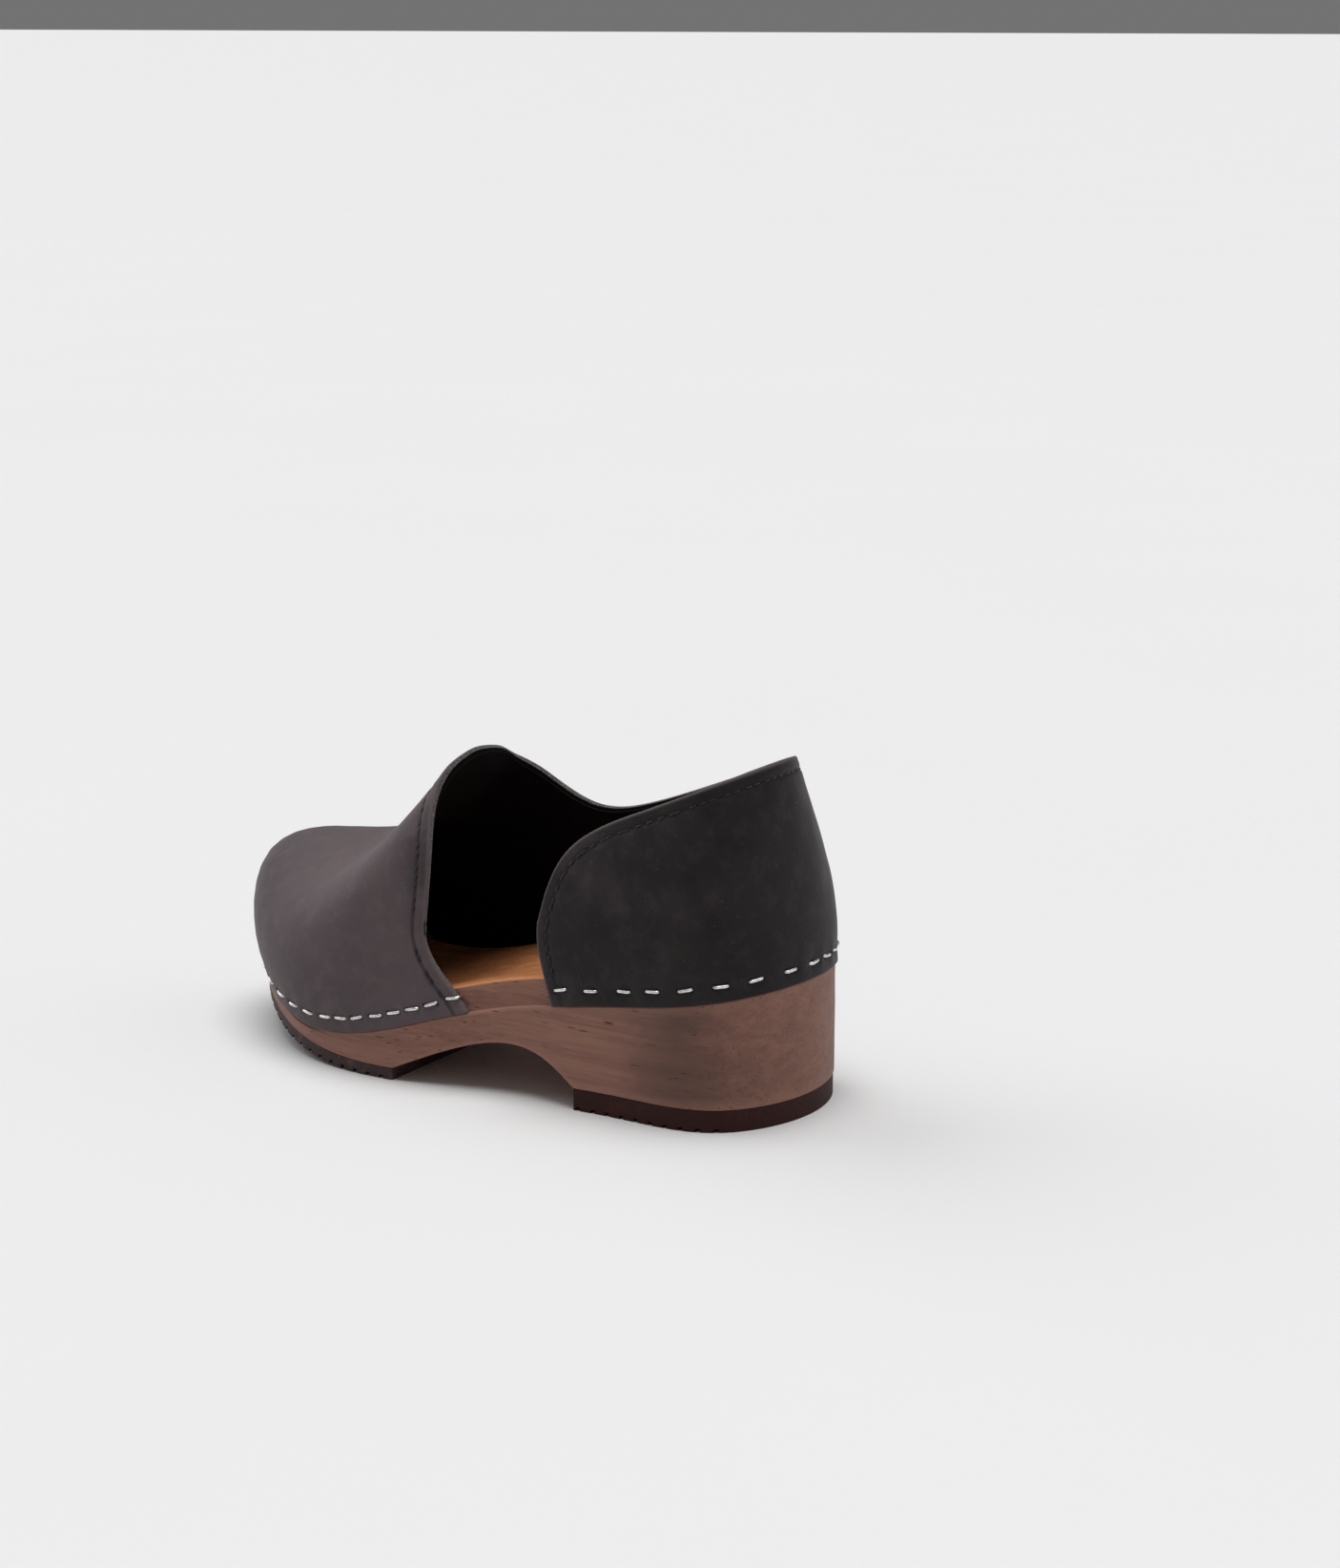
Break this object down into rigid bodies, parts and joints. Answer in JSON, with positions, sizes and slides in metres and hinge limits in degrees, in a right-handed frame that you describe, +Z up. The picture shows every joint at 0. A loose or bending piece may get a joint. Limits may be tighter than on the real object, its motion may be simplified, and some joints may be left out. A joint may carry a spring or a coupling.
{
  "type": "wooden clog",
  "caption": "Left closed-back clog: leather upper open on the outer side, stapled to a carved wooden sole with a heel block and rubber outsoles.",
  "frame": {"origin": "on the ground, under the centre of the clog's bounding box", "axes": "+X from heel to toe, +Y to the outer side of the left foot, +Z up"},
  "size_m": [0.252, 0.1018, 0.1276],
  "materials": {
    "stained_wood": "stained and oiled, satin",
    "nubuck": "oiled nubuck, matte",
    "inner_leather": "unfinished flesh side, matte",
    "thread": "waxed thread",
    "staple_wire": "bright wire",
    "outsole_rubber": "matte",
    "nail_steel": "plain"
  },
  "bodies": {
    "root": {"wood_sole": "stained_wood", "upper_leather": "nubuck", "topline_tape": "inner_leather", "heel_counter": "inner_leather", "toe_puff": "inner_leather", "topline_stitching": "thread", "vamp_staples": "staple_wire", "medial_staples": "staple_wire", "quarter_staples": "staple_wire", "forefoot_outsole": "outsole_rubber", "heel_outsole": "outsole_rubber", "forefoot_outsole_nails": "nail_steel", "heel_outsole_nails": "nail_steel"}
  },
  "joints": []
}
